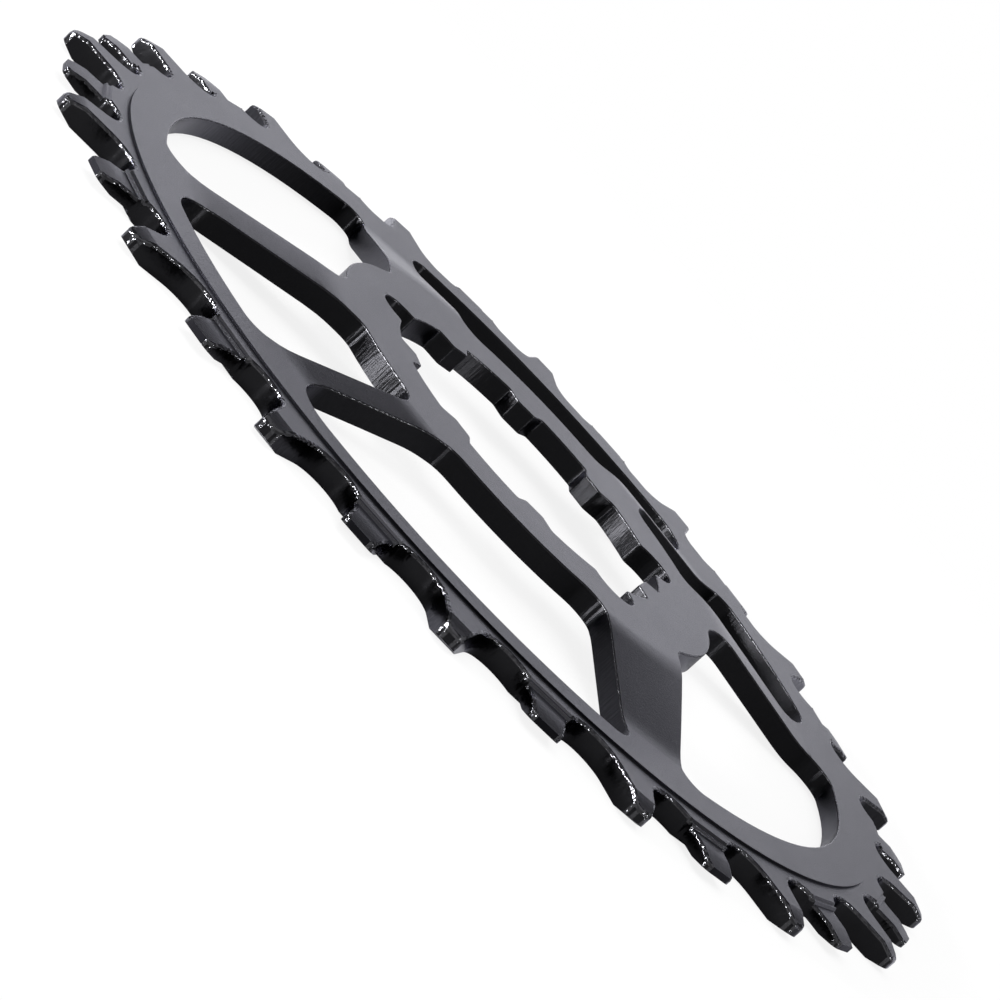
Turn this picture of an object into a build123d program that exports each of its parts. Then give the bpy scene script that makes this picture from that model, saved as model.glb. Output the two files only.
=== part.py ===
from build123d import *
from math import cos, pi, radians, sin, sqrt
import os

# A narrow-wide chainring for a single-ring drivetrain, in millimetres. It lies on its flat back:
# z = 0 is the back of the rim, +Z is the side where the hub stands proud, the axis is the Z axis.

# teeth: heights and depths are taken from the chain's pitch circle
tooth_count = 32
chain_pitch = 12.7
seat_radius = 3.9
wide_tip_height = 4.115
narrow_tip_height = 2.815
wide_flank_angle = 14.5
narrow_flank_angle = 5.5
tip_corner_cut = 0.5
first_tooth_angle = 2.0
band_thickness = 2.77
wide_bevel_run = 2.2
wide_bevel_drop = 0.7

# what thins a narrow tooth on both faces
relief_start_depth = 2.685
ledge_depth = 0.22
ledge_width = 0.45
relief_wall_run = 0.18
relief_depth = 0.55
narrow_bevel_run = 2.3
narrow_bevel_drop = 0.45

# rim, dish and hub: the rim's edge is set back from the bottoms of the roller seats
rim_setback = 1.485
band_overlap = 1.0
rim_rise = 0.25
rim_back_rise = 0.4
hub_rise = 3.29
hub_thickness = 2.8
dish_inner_radius = 33.2
dish_run = 16.3
dish_bend_radius = 20.0

# the edges of the three arms, each arm repeated half a turn round: the direction of an edge and
# its distance to the left of the axis, looking outwards along it
low_arm_lower_angle = 13.5
low_arm_lower_offset = 3.2
low_arm_upper_angle = 11.3
low_arm_upper_offset = 12.1
thin_arm_lower_angle = 42.3
thin_arm_lower_offset = 11.2
thin_arm_upper_angle = 41.5
thin_arm_upper_offset = 16.0
broad_arm_lower_angle = 114.0
broad_arm_lower_offset = 2.57
broad_arm_upper_angle = 103.3
broad_arm_upper_offset = 21.07

# the windows between the arms: the width of rim outside each, and their corner radii
window_inner_radius = 29.25
top_window_rim = 4.3
side_window_rim = 4.9
end_window_rim = 5.55
top_window_corners = (3.1, 6.5, 3.2, 3.1)
side_window_corners = (2.2, 5.9, 2.5, 4.1)
end_window_corners = (4.0, 2.1, 3.6, 5.2)

# the splined hole: ten even positions, some with a land that stands into the hole, one of them
# broad, and some with a round notch cut outwards
spline_count = 10
spline_radius = 20.8
first_land_angle = 27.2
land_numbers = (0, 1, 2, 6, 7, 8)
broad_land_number = 4
notch_numbers = (3, 5, 9)
land_height = 2.1
land_tip_width = 2.7
land_base_width = 5.4
broad_land_widening = 1.6
land_fillet_radius = 0.6
notch_radius = 3.1
notch_centre_setback = 0.4

# how far a cutter stands out past what it cuts
clearance = 1.0

rim_top = band_thickness + rim_rise
hub_top = band_thickness + hub_rise
hub_back = hub_top - hub_thickness
half_pitch = 180 / tooth_count
spline_pitch = 360 / spline_count
pitch_radius = chain_pitch / (2 * sin(pi / tooth_count))
root_radius = pitch_radius - seat_radius
wide_tip_radius = pitch_radius + wide_tip_height
narrow_tip_radius = pitch_radius + narrow_tip_height
wide_bevel_start_radius = wide_tip_radius - wide_bevel_run
narrow_bevel_start_radius = narrow_tip_radius - narrow_bevel_run
relief_start_radius = pitch_radius - relief_start_depth
rim_top_radius = root_radius - rim_setback
band_inner_radius = rim_top_radius - band_overlap
dish_outer_radius = dish_inner_radius + dish_run
land_tip_radius = spline_radius - land_height
notch_centre_radius = spline_radius + notch_centre_setback
dish_slope = (hub_top - rim_top) / dish_run
back_outer_radius = dish_inner_radius + (hub_back - rim_back_rise) / dish_slope


def from_axis(point):
    """How far a point lies from the axis."""
    return sqrt(point.X**2 + point.Y**2)


def turned(x, y, angle):
    """The point (x, y) turned about the axis."""
    c, s = cos(radians(angle)), sin(radians(angle))
    return (x * c - y * s, x * s + y * c)


def on_edge(angle, offset, radius):
    """Where an arm's edge crosses a circle round the axis."""
    return turned(sqrt(radius**2 - offset**2), offset, angle)


def tooth_points(tip_radius, flank_angle):
    """Flank foot and tip corner of a tooth that points along +X, on its +Y side: the flank is the
    tangent of the roller seat's circle that leans to the tooth's middle by the flank angle."""
    lean = radians(flank_angle)
    seat_x = pitch_radius * cos(pi / tooth_count)
    seat_y = pitch_radius * sin(pi / tooth_count)
    foot = (seat_x - seat_radius * sin(lean), seat_y - seat_radius * cos(lean))
    along = foot[0] * cos(lean) - foot[1] * sin(lean)
    run = -along + sqrt(along**2 + tip_radius**2 - foot[0] ** 2 - foot[1] ** 2)
    return foot, (foot[0] + run * cos(lean), foot[1] - run * sin(lean))


# the toothed band
with BuildPart() as band:
    with BuildSketch():
        with BuildLine():
            for tooth in range(tooth_count):
                middle = first_tooth_angle + 2 * half_pitch * tooth
                wide = tooth % 2 == 0
                tip_radius = wide_tip_radius if wide else narrow_tip_radius
                next_tip = narrow_tip_radius if wide else wide_tip_radius
                foot, tip = tooth_points(tip_radius, wide_flank_angle if wide else narrow_flank_angle)
                next_foot, _ = tooth_points(next_tip, narrow_flank_angle if wide else wide_flank_angle)
                right_foot = turned(foot[0], -foot[1], middle)
                right_tip = turned(tip[0], -tip[1], middle)
                left_tip = turned(tip[0], tip[1], middle)
                left_foot = turned(foot[0], foot[1], middle)
                Line(right_foot, right_tip)
                ThreePointArc(right_tip, turned(tip_radius, 0, middle), left_tip)
                Line(left_tip, left_foot)
                valley = turned(root_radius, 0, middle + half_pitch)
                next_right_foot = turned(next_foot[0], -next_foot[1], middle + 2 * half_pitch)
                ThreePointArc(left_foot, valley, next_right_foot)
        make_face()
        Circle(band_inner_radius, mode=Mode.SUBTRACT)
    extrude(amount=band_thickness)
    upright_edges = band.edges().filter_by(Axis.Z)
    tip_edges = [edge for edge in upright_edges if from_axis(edge.center()) > narrow_bevel_start_radius]
    chamfer(tip_edges, length=tip_corner_cut)

# the cutters for a tooth that points along +X, the same on both faces: the bevels of a wide tip,
# and what thins a narrow tooth in a shallow ledge, a lowered face and a bevelled tip
with BuildPart() as wide_bevels:
    with BuildSketch(Plane.XZ):
        with BuildLine():
            Polyline(
                (wide_bevel_start_radius, band_thickness),
                (wide_tip_radius, band_thickness - wide_bevel_drop),
                (wide_tip_radius + clearance, band_thickness - wide_bevel_drop),
                (wide_tip_radius + clearance, band_thickness + clearance),
                (wide_bevel_start_radius, band_thickness + clearance),
                close=True,
            )
        make_face()
    extrude(amount=chain_pitch / 2, both=True)
    mirror(about=Plane.XY.offset(band_thickness / 2))
ledge_end = relief_start_radius + ledge_width
with BuildPart() as narrow_relief:
    with BuildSketch(Plane.XZ):
        with BuildLine():
            Polyline(
                (relief_start_radius - relief_wall_run, band_thickness + clearance),
                (relief_start_radius - relief_wall_run, band_thickness),
                (relief_start_radius, band_thickness - ledge_depth),
                (ledge_end, band_thickness - ledge_depth),
                (ledge_end + relief_wall_run, band_thickness - relief_depth),
                (narrow_bevel_start_radius, band_thickness - relief_depth),
                (narrow_tip_radius, band_thickness - relief_depth - narrow_bevel_drop),
                (wide_tip_radius, band_thickness - relief_depth - narrow_bevel_drop),
                (wide_tip_radius, band_thickness + clearance),
                close=True,
            )
        make_face()
    extrude(amount=chain_pitch / 2, both=True)
    mirror(about=Plane.XY.offset(band_thickness / 2))

# the windows, each bounded by two arm edges, the hub and the rim
windows = (
    (thin_arm_upper_angle, thin_arm_upper_offset, broad_arm_lower_angle, broad_arm_lower_offset,
     rim_top_radius - top_window_rim, top_window_corners),
    (low_arm_upper_angle, low_arm_upper_offset, thin_arm_lower_angle, thin_arm_lower_offset,
     rim_top_radius - side_window_rim, side_window_corners),
    (broad_arm_upper_angle - 180, broad_arm_upper_offset, low_arm_lower_angle, low_arm_lower_offset,
     rim_top_radius - end_window_rim, end_window_corners),
)

# the whole ring
with BuildPart() as chainring:
    with BuildSketch(Plane.XZ) as section:
        with BuildLine():
            Polyline(
                (land_tip_radius - clearance, hub_back),
                (dish_inner_radius, hub_back),
                (back_outer_radius, rim_back_rise),
                (rim_top_radius, rim_back_rise),
                (rim_top_radius, rim_top),
                (dish_outer_radius, rim_top),
                (dish_inner_radius, hub_top),
                (land_tip_radius - clearance, hub_top),
                close=True,
            )
        make_face()
        bends = [v for v in section.vertices() if land_tip_radius < v.X < band_inner_radius]
        fillet(bends, radius=dish_bend_radius)
    revolve(axis=Axis.Z)
    add(band.part)
    with PolarLocations(0, tooth_count // 2, start_angle=first_tooth_angle):
        add(wide_bevels.part, mode=Mode.SUBTRACT)
    with PolarLocations(0, tooth_count // 2, start_angle=first_tooth_angle + 2 * half_pitch):
        add(narrow_relief.part, mode=Mode.SUBTRACT)
    for turn in (0, 180):
        for angle_a, offset_a, angle_b, offset_b, outer_radius, corner_radii in windows:
            points = (
                on_edge(angle_a, offset_a, window_inner_radius),
                on_edge(angle_a, offset_a, outer_radius),
                on_edge(angle_b, offset_b, outer_radius),
                on_edge(angle_b, offset_b, window_inner_radius),
            )
            with BuildSketch(Plane.XY.rotated((0, 0, turn))) as window:
                with BuildLine():
                    Line(points[0], points[1])
                    RadiusArc(points[1], points[2], -outer_radius)
                    Line(points[2], points[3])
                    RadiusArc(points[3], points[0], window_inner_radius)
                make_face()
                for point, corner_radius in zip(points, corner_radii):
                    fillet(window.vertices().sort_by_distance(point)[0], radius=corner_radius)
            extrude(amount=hub_top + clearance, mode=Mode.SUBTRACT)
    with BuildSketch() as spline:
        Circle(spline_radius)
        for number in notch_numbers:
            with Locations(turned(notch_centre_radius, 0, first_land_angle + spline_pitch * number)):
                Circle(notch_radius)
        for number in land_numbers + (broad_land_number,):
            widening = broad_land_widening if number == broad_land_number else 0
            tip_y = (land_tip_width + widening) / 2
            base_y = (land_base_width + widening) / 2
            base_x = sqrt(spline_radius**2 - base_y**2)
            land = (
                (base_x, -base_y),
                (land_tip_radius, -tip_y),
                (land_tip_radius, tip_y),
                (base_x, base_y),
                (spline_radius + clearance, base_y),
                (spline_radius + clearance, -base_y),
            )
            land_angle = first_land_angle + spline_pitch * number
            with BuildLine():
                Polyline([turned(x, y, land_angle) for x, y in land], close=True)
            make_face(mode=Mode.SUBTRACT)
        fillet(spline.vertices(), radius=land_fillet_radius)
    extrude(amount=hub_top + clearance, mode=Mode.SUBTRACT)

chainring.part.label = "chainring"
os.makedirs("parts", exist_ok=True)
export_step(chainring.part, "parts/chainring.step")
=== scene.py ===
"""A black narrow-wide chainring lying flat on a pale studio floor."""
from math import cos, radians, sin

import bmesh
import bpy
import numpy as np
from mathutils import Matrix, Vector


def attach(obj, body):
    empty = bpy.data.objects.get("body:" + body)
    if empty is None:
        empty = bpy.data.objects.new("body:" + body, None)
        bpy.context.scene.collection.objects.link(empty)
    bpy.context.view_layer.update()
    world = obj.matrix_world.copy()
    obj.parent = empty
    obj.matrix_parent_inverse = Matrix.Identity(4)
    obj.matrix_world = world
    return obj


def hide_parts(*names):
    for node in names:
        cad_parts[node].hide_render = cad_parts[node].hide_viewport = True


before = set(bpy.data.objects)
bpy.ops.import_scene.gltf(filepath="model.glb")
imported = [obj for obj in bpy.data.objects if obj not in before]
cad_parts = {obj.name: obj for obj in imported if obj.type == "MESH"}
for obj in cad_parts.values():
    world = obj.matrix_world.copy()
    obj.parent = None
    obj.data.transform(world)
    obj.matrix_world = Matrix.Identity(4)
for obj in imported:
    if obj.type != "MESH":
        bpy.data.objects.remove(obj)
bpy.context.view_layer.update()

# The camera looks low across the ring with a long lens, turned about its own axis so that the ring
# runs from the upper left of the picture to the lower right.
LENS = 155.14
SENSOR_WIDTH = 36.0
NEAREST_SEEN = 0.01
CAMERA_PLACE = Vector((0.03527, 0.46948, 0.09557))
AIM = Vector((-0.001288, -0.000905, 0.0))
ROLL = radians(47.58)
forward = (AIM - CAMERA_PLACE).normalized()
level_right = forward.cross(Vector((0, 0, 1))).normalized()
level_up = level_right.cross(forward)
right = level_right * cos(ROLL) + level_up * sin(ROLL)
up = level_up * cos(ROLL) - level_right * sin(ROLL)
camera_data = bpy.data.cameras.new("camera")
camera_data.lens = LENS
camera_data.sensor_width = SENSOR_WIDTH
camera_data.clip_start = NEAREST_SEEN
camera = bpy.data.objects.new("camera", camera_data)
turn = Matrix((right, up, -forward)).transposed().to_4x4()
camera.matrix_world = Matrix.Translation(CAMERA_PLACE) @ turn
bpy.context.collection.objects.link(camera)
bpy.context.scene.camera = camera

# The chainring is milled from one aluminium plate, blasted on its faces and given a black dye all over.
# The walls keep the cutter's marks, the low steps are turned, and the sharp edges are broken by
# tumbling, which rounds the teeth more than the windows. The walls, the low steps and the window edges
# have a darker colour than the faces: painted shade, which keeps them dark where they would catch light.
WELD = 0.000002
FLAT = radians(0.4)
SHARP_CORNER = radians(25)
UPRIGHT = 0.3
FACING_UP = 0.5
LOW_WALL = 0.0008
TOOTH_ZONE_START = 0.0602
TOOTH_TIP_ZONE_START = 0.0655
RIM_STEP_RADIUS = 0.0591
BEYOND_THE_TEETH = 1
TOOTH_BREAK = 0.00038
WINDOW_BREAK = 0.00018
TIP_ROUND = 0.00022
FACE, WALL, FLANK, STEP, TOOTH_EDGE, WINDOW_EDGE = 0, 1, 2, 3, 4, 5
DYE_AT_GRAZING = (0.92, 0.92, 1.0, 1)
THIN_FACE_DYE = (0.050, 0.050, 0.056, 1)
DEEP_FACE_DYE = (0.038, 0.038, 0.043, 1)
# The walls' colour is darker than the faces': painted shade on top of the black dye, so the walls stay
# dark.
THIN_WALL_DYE_AND_PAINTED_SHADE = (0.012, 0.012, 0.013, 1)
DEEP_WALL_DYE_AND_PAINTED_SHADE = (0.008, 0.008, 0.009, 1)
THIN_TUMBLED_DYE = (0.060, 0.060, 0.064, 1)
DEEP_TUMBLED_DYE = (0.020, 0.020, 0.022, 1)
# The window edges' colour is darker than the faces': painted shade that dims the glints on these edges.
THIN_WINDOW_EDGE_DYE_AND_PAINTED_SHADE = (0.030, 0.030, 0.032, 1)
DEEP_WINDOW_EDGE_DYE_AND_PAINTED_SHADE = (0.008, 0.008, 0.009, 1)
# The low steps' colour is near black: painted shade that keeps the lamps' reflection out of them.
THIN_STEP_DYE_AND_PAINTED_SHADE = (0.006, 0.006, 0.007, 1)
DEEP_STEP_DYE_AND_PAINTED_SHADE = (0.004, 0.004, 0.005, 1)
CLOUD_SCALE = 140
CLOUD_DETAIL = 3
CLOUD_LOW = 0.3
CLOUD_HIGH = 0.7


def reach(edge):
    """How far the middle of an edge lies from the ring's axis."""
    middle = (edge.verts[0].co + edge.verts[1].co) / 2
    return middle.xy.length


def height_of(face):
    """How much higher a face's highest corner lies than its lowest."""
    levels = [corner.co.z for corner in face.verts]
    return max(levels) - min(levels)


def convex(edge):
    """True for an edge between two faces that stand out at a sharp corner."""
    return edge.is_manifold and edge.calc_face_angle_signed() >= SHARP_CORNER


def upper_rim(edge, nearest, farthest):
    """True for a convex corner between an upper face and an upright wall, within two radii."""
    if not convex(edge):
        return False
    wall, face = sorted(edge.link_faces, key=lambda face: face.normal.z)
    if abs(wall.normal.z) > UPRIGHT or face.normal.z < FACING_UP or height_of(wall) < LOW_WALL:
        return False
    return nearest < reach(edge) < farthest


def tip_corner(edge):
    """True for an upright convex corner at the tip of a tooth."""
    if not convex(edge):
        return False
    upright = all(abs(face.normal.z) < UPRIGHT for face in edge.link_faces)
    return upright and reach(edge) > TOOTH_TIP_ZONE_START


def finish_of(face):
    """The number of a face's finish: blasted on top and below, turned at the low steps, and milled on
    the upright walls, in one way round the teeth and in another round the windows and hub. The walls and
    the low steps get a darker colour than the faces, which is painted shade."""
    if abs(face.normal.z) > UPRIGHT:
        return FACE
    if height_of(face) < LOW_WALL:
        return STEP
    return FLANK if face.calc_center_median().xy.length > TOOTH_ZONE_START else WALL


def broken(mesh, edges, width, finish):
    """Rounds the edges off by a width, in two facets with a finish of their own."""
    bmesh.ops.bevel(mesh, geom=edges, offset=width, offset_type="OFFSET", segments=2, profile=0.5,
                    affect="EDGES", clamp_overlap=False, loop_slide=True, material=finish)


def welded_copy(source, name):
    """The same surface with its triangles joined and its corners broken by a narrow round: smooth
    over bends, sharp at what corners are left, each face with the finish that it has."""
    mesh = bmesh.new()
    mesh.from_mesh(source.data)
    bmesh.ops.remove_doubles(mesh, verts=mesh.verts, dist=WELD)
    bmesh.ops.dissolve_limit(mesh, angle_limit=FLAT, verts=mesh.verts, edges=mesh.edges)
    for face in mesh.faces:
        face.material_index = finish_of(face)
    tips = [edge for edge in mesh.edges if tip_corner(edge)]
    broken(mesh, tips, TIP_ROUND, TOOTH_EDGE)
    tooth_rims = [edge for edge in mesh.edges if upper_rim(edge, TOOTH_ZONE_START, BEYOND_THE_TEETH)]
    broken(mesh, tooth_rims, TOOTH_BREAK, TOOTH_EDGE)
    window_rims = [edge for edge in mesh.edges if upper_rim(edge, 0, RIM_STEP_RADIUS)]
    broken(mesh, window_rims, WINDOW_BREAK, WINDOW_EDGE)
    bmesh.ops.dissolve_degenerate(mesh, dist=WELD, edges=mesh.edges)
    for face in mesh.faces:
        face.smooth = True
    for edge in mesh.edges:
        edge.smooth = edge.is_manifold and edge.calc_face_angle() < SHARP_CORNER
    data = bpy.data.meshes.new(name)
    mesh.to_mesh(data)
    mesh.free()
    piece = bpy.data.objects.new(name, data)
    bpy.context.collection.objects.link(piece)
    shading = piece.modifiers.new("flat_faces", "WEIGHTED_NORMAL")
    shading.mode = "FACE_AREA"
    shading.weight = 100
    shading.keep_sharp = True
    return piece


def nodes_of(name):
    """A new material, its node tree and its shader."""
    material = bpy.data.materials.new(name)
    material.use_nodes = True
    tree = material.node_tree
    return material, tree, tree.nodes["Principled BSDF"]


def noise(tree, scale, detail, stretch=(1, 1, 1)):
    """A noise on the ring's own coordinates, drawn out along an axis where the stretch is low."""
    place = tree.nodes.new("ShaderNodeTexCoord")
    mapping = tree.nodes.new("ShaderNodeMapping")
    mapping.inputs["Scale"].default_value = stretch
    tree.links.new(place.outputs["Object"], mapping.inputs["Vector"])
    texture = tree.nodes.new("ShaderNodeTexNoise")
    texture.inputs["Scale"].default_value = scale
    texture.inputs["Detail"].default_value = detail
    tree.links.new(mapping.outputs["Vector"], texture.inputs["Vector"])
    return texture.outputs["Fac"]


def dye_and_painted_shade(name, dye_and_shade_colours, roughness, unevenness, marks, mark_depth):
    """Metal under a black dye that is thin in places and deep in others. Where the colours given are
    darker than the faces' own, as on the walls, the low steps and the window edges, the extra darkness
    is painted shade. Its roughness varies by a share of itself, and marks, a noise's scale, detail and
    stretch, are pressed into its skin."""
    material, tree, shader = nodes_of(name)
    clouds = noise(tree, CLOUD_SCALE, CLOUD_DETAIL)
    thin_dye_and_shade, deep_dye_and_shade = dye_and_shade_colours
    shade = tree.nodes.new("ShaderNodeMix")
    shade.data_type = "RGBA"
    shade.inputs["A"].default_value = deep_dye_and_shade
    shade.inputs["B"].default_value = thin_dye_and_shade
    tree.links.new(clouds, shade.inputs["Factor"])
    tree.links.new(shade.outputs["Result"], shader.inputs["Base Color"])
    gloss = tree.nodes.new("ShaderNodeMapRange")
    gloss.inputs["From Min"].default_value = CLOUD_LOW
    gloss.inputs["From Max"].default_value = CLOUD_HIGH
    gloss.inputs["To Min"].default_value = roughness * (1 - unevenness)
    gloss.inputs["To Max"].default_value = roughness * (1 + unevenness)
    tree.links.new(clouds, gloss.inputs["Value"])
    tree.links.new(gloss.outputs["Result"], shader.inputs["Roughness"])
    bump = tree.nodes.new("ShaderNodeBump")
    bump.inputs["Distance"].default_value = mark_depth
    tree.links.new(noise(tree, *marks), bump.inputs["Height"])
    tree.links.new(bump.outputs["Normal"], shader.inputs["Normal"])
    shader.inputs["Metallic"].default_value = 1.0
    shader.inputs["Specular Tint"].default_value = DYE_AT_GRAZING
    return material


def smeared(material, amount):
    """The cutter leaves its fine scratches level along a wall, so light smears up and down it."""
    shader = material.node_tree.nodes["Principled BSDF"]
    shader.inputs["Anisotropic"].default_value = amount
    upward = material.node_tree.nodes.new("ShaderNodeCombineXYZ")
    upward.inputs["Z"].default_value = 1.0
    material.node_tree.links.new(upward.outputs[0], shader.inputs["Tangent"])


blasted_face = dye_and_painted_shade("blasted_face", (THIN_FACE_DYE, DEEP_FACE_DYE), roughness=0.3, unevenness=0.03,
                    marks=(5000, 2), mark_depth=0.00004)
# The walls and flanks take the darker wall colour, which is painted shade.
milled_wall_painted_shade = dye_and_painted_shade("milled_wall_painted_shade", (THIN_WALL_DYE_AND_PAINTED_SHADE, DEEP_WALL_DYE_AND_PAINTED_SHADE), roughness=0.34, unevenness=0.1,
                   marks=(2600, 3, (1, 1, 0.15)), mark_depth=0.00003)
milled_flank_painted_shade = dye_and_painted_shade("milled_flank_painted_shade", (THIN_WALL_DYE_AND_PAINTED_SHADE, DEEP_WALL_DYE_AND_PAINTED_SHADE), roughness=0.17, unevenness=0.2,
                    marks=(1500, 2, (1, 1, 0.5)), mark_depth=0.00004)
tumbled_edge = dye_and_painted_shade("tumbled_edge", (THIN_TUMBLED_DYE, DEEP_TUMBLED_DYE), roughness=0.16,
                    unevenness=0.1, marks=(2200, 0), mark_depth=0.00014)
# The window edges' darker colour is painted shade.
window_edge_painted_shade = dye_and_painted_shade("window_edge_painted_shade", (THIN_WINDOW_EDGE_DYE_AND_PAINTED_SHADE, DEEP_WINDOW_EDGE_DYE_AND_PAINTED_SHADE), roughness=0.25,
                   unevenness=0.1, marks=(2200, 0), mark_depth=0.00006)
# The low steps' near-black colour is painted shade.
turned_step_painted_shade = dye_and_painted_shade("turned_step_painted_shade", (THIN_STEP_DYE_AND_PAINTED_SHADE, DEEP_STEP_DYE_AND_PAINTED_SHADE), roughness=0.5, unevenness=0.1,
                   marks=(3000, 1), mark_depth=0.000004)
smeared(milled_wall_painted_shade, 1.0)
smeared(milled_flank_painted_shade, 0.5)

ring = welded_copy(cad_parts["chainring"], "black_ring")
for finish in (blasted_face, milled_wall_painted_shade, milled_flank_painted_shade, turned_step_painted_shade, tumbled_edge, window_edge_painted_shade):
    ring.data.materials.append(finish)
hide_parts("chainring")
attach(ring, "root")

# The floor is a wide round sheet of matt white board, and the ring lies straight on it. The camera
# sees it nearly white near the ring, with a faint shadow, and plain white farther out.
FLOOR_RADIUS = 4.0
FLOOR_SIDES = 64
FLOOR_DROP = 0.00003
FLOOR_WHITE = (0.93, 0.93, 0.93, 1)
FLOOR_ROUGHNESS = 0.9
WHITE_SHARE = 0.84
SHADOW_REACH = 0.08
SHADOW_END = 0.25
floor_mesh = bpy.data.meshes.new("floor")
angles = np.linspace(0, 2 * np.pi, FLOOR_SIDES, endpoint=False)
level = np.full(FLOOR_SIDES, -FLOOR_DROP)
rim = np.stack([FLOOR_RADIUS * np.cos(angles), FLOOR_RADIUS * np.sin(angles), level], 1)
floor_mesh.from_pydata(rim.tolist(), [], [list(range(FLOOR_SIDES))])
floor = bpy.data.objects.new("floor", floor_mesh)
bpy.context.collection.objects.link(floor)
material, tree, shader = nodes_of("white_board")
shader.inputs["Base Color"].default_value = FLOOR_WHITE
shader.inputs["Roughness"].default_value = FLOOR_ROUGHNESS
shader.inputs["Specular IOR Level"].default_value = 0.0
rays = tree.nodes.new("ShaderNodeLightPath")
place = tree.nodes.new("ShaderNodeTexCoord")
distance = tree.nodes.new("ShaderNodeVectorMath")
distance.operation = "LENGTH"
tree.links.new(place.outputs["Object"], distance.inputs[0])
fade = tree.nodes.new("ShaderNodeMapRange")
fade.inputs["From Min"].default_value = SHADOW_REACH
fade.inputs["From Max"].default_value = SHADOW_END
fade.inputs["To Min"].default_value = WHITE_SHARE
tree.links.new(distance.outputs["Value"], fade.inputs["Value"])
share = tree.nodes.new("ShaderNodeMath")
share.operation = "MULTIPLY"
tree.links.new(rays.outputs["Is Camera Ray"], share.inputs[0])
tree.links.new(fade.outputs["Result"], share.inputs[1])
white = tree.nodes.new("ShaderNodeEmission")
blend = tree.nodes.new("ShaderNodeMixShader")
tree.links.new(share.outputs[0], blend.inputs[0])
tree.links.new(shader.outputs[0], blend.inputs[1])
tree.links.new(white.outputs[0], blend.inputs[2])
tree.links.new(blend.outputs[0], tree.nodes["Material Output"].inputs["Surface"])
floor.data.materials.append(material)

# The studio is white low down and darker higher up, most of all behind the ring, and a little
# darker low down on the -X side, and the ring mirrors that. It lights the floor evenly, and the
# camera sees it plain white.
AMBIENT = 0.45
LOW_SKY = 12
HIGH_SKY = 25
HIGH_SKY_LEVEL_BEHIND = 0.16
HIGH_SKY_LEVEL_IN_FRONT = 0.6
HIGH_SKY_TURN = 0.3
SIDE_SKY_LEVEL = 0.8
SIDE_SKY_START = -0.12
SIDE_SKY_FULL = -0.2
world = bpy.data.worlds.new("studio")
world.use_nodes = True
bpy.context.scene.world = world
tree = world.node_tree


def ramp(value, low, high, to_low, to_high, smooth=False):
    """A node that carries a value's range over to another; the new range's ends may be sockets."""
    node = tree.nodes.new("ShaderNodeMapRange")
    node.interpolation_type = "SMOOTHSTEP" if smooth else "LINEAR"
    node.inputs["From Min"].default_value = low
    node.inputs["From Max"].default_value = high
    tree.links.new(value, node.inputs["Value"])
    for name, end in (("To Min", to_low), ("To Max", to_high)):
        if isinstance(end, (int, float)):
            node.inputs[name].default_value = end
        else:
            tree.links.new(end, node.inputs[name])
    return node.outputs["Result"]


rays = tree.nodes.new("ShaderNodeLightPath")
place = tree.nodes.new("ShaderNodeTexCoord")
way = tree.nodes.new("ShaderNodeSeparateXYZ")
tree.links.new(place.outputs["Generated"], way.inputs[0])
low_level = ramp(way.outputs["X"], SIDE_SKY_FULL, SIDE_SKY_START, SIDE_SKY_LEVEL, 1.0)
high_level = ramp(way.outputs["Y"], -HIGH_SKY_TURN, HIGH_SKY_TURN,
                  HIGH_SKY_LEVEL_BEHIND, HIGH_SKY_LEVEL_IN_FRONT)
mirrored = ramp(way.outputs["Z"], sin(radians(LOW_SKY)), sin(radians(HIGH_SKY)),
                low_level, high_level, smooth=True)
unseen = ramp(rays.outputs["Is Glossy Ray"], 0, 1, AMBIENT, mirrored)
sky = tree.nodes["Background"]
sky.inputs["Color"].default_value = (1, 1, 1, 1)
tree.links.new(ramp(rays.outputs["Is Camera Ray"], 0, 1, unseen, 1.0), sky.inputs["Strength"])

# Four small strips stand low round the ring and draw the white glints on its walls and edges. Two
# soft lamps stand behind it, and a large one overhead lights the ring and the floor.
STRIP_DISTANCE = 0.8
STRIP_HEIGHT = 0.10
SOFT_DISTANCE = 1.6
SOFT_HEIGHT = 0.5
OVERHEAD_DISTANCE = 2.0
OVERHEAD_WIDTH = 3.0


def soft_lamp(name, azimuth, elevation, distance, size, power):
    """An area lamp of a width and height, that looks at the ring from a direction in degrees."""
    data = bpy.data.lights.new(name, "AREA")
    data.shape = "RECTANGLE"
    data.size, data.size_y = size
    data.energy = power
    lamp = bpy.data.objects.new(name, data)
    level = cos(radians(elevation))
    way = Vector((cos(radians(azimuth)) * level, sin(radians(azimuth)) * level, sin(radians(elevation))))
    lamp.location = way * distance
    lamp.rotation_euler = (-way).to_track_quat("-Z", "Y").to_euler()
    bpy.context.collection.objects.link(lamp)


soft_lamp("side_strip", 9.5, 7, STRIP_DISTANCE, (0.11, STRIP_HEIGHT), power=13.0)
soft_lamp("far_side_strip", -9, 7, STRIP_DISTANCE, (0.04, STRIP_HEIGHT), power=3.0)
soft_lamp("near_strip", 42, 7, STRIP_DISTANCE, (0.05, STRIP_HEIGHT), power=5.0)
soft_lamp("other_strip", 158, 12, STRIP_DISTANCE, (0.05, STRIP_HEIGHT), power=2.5)
soft_lamp("far_soft", -75, 9, SOFT_DISTANCE, (0.84, SOFT_HEIGHT), power=0.37)
soft_lamp("back_soft", -98, 9, SOFT_DISTANCE, (0.225, SOFT_HEIGHT), power=0.1)
soft_lamp("overhead", 0, 90, OVERHEAD_DISTANCE, (OVERHEAD_WIDTH, OVERHEAD_WIDTH), power=30.0)

view = bpy.context.scene.view_settings
view.view_transform = "Standard"
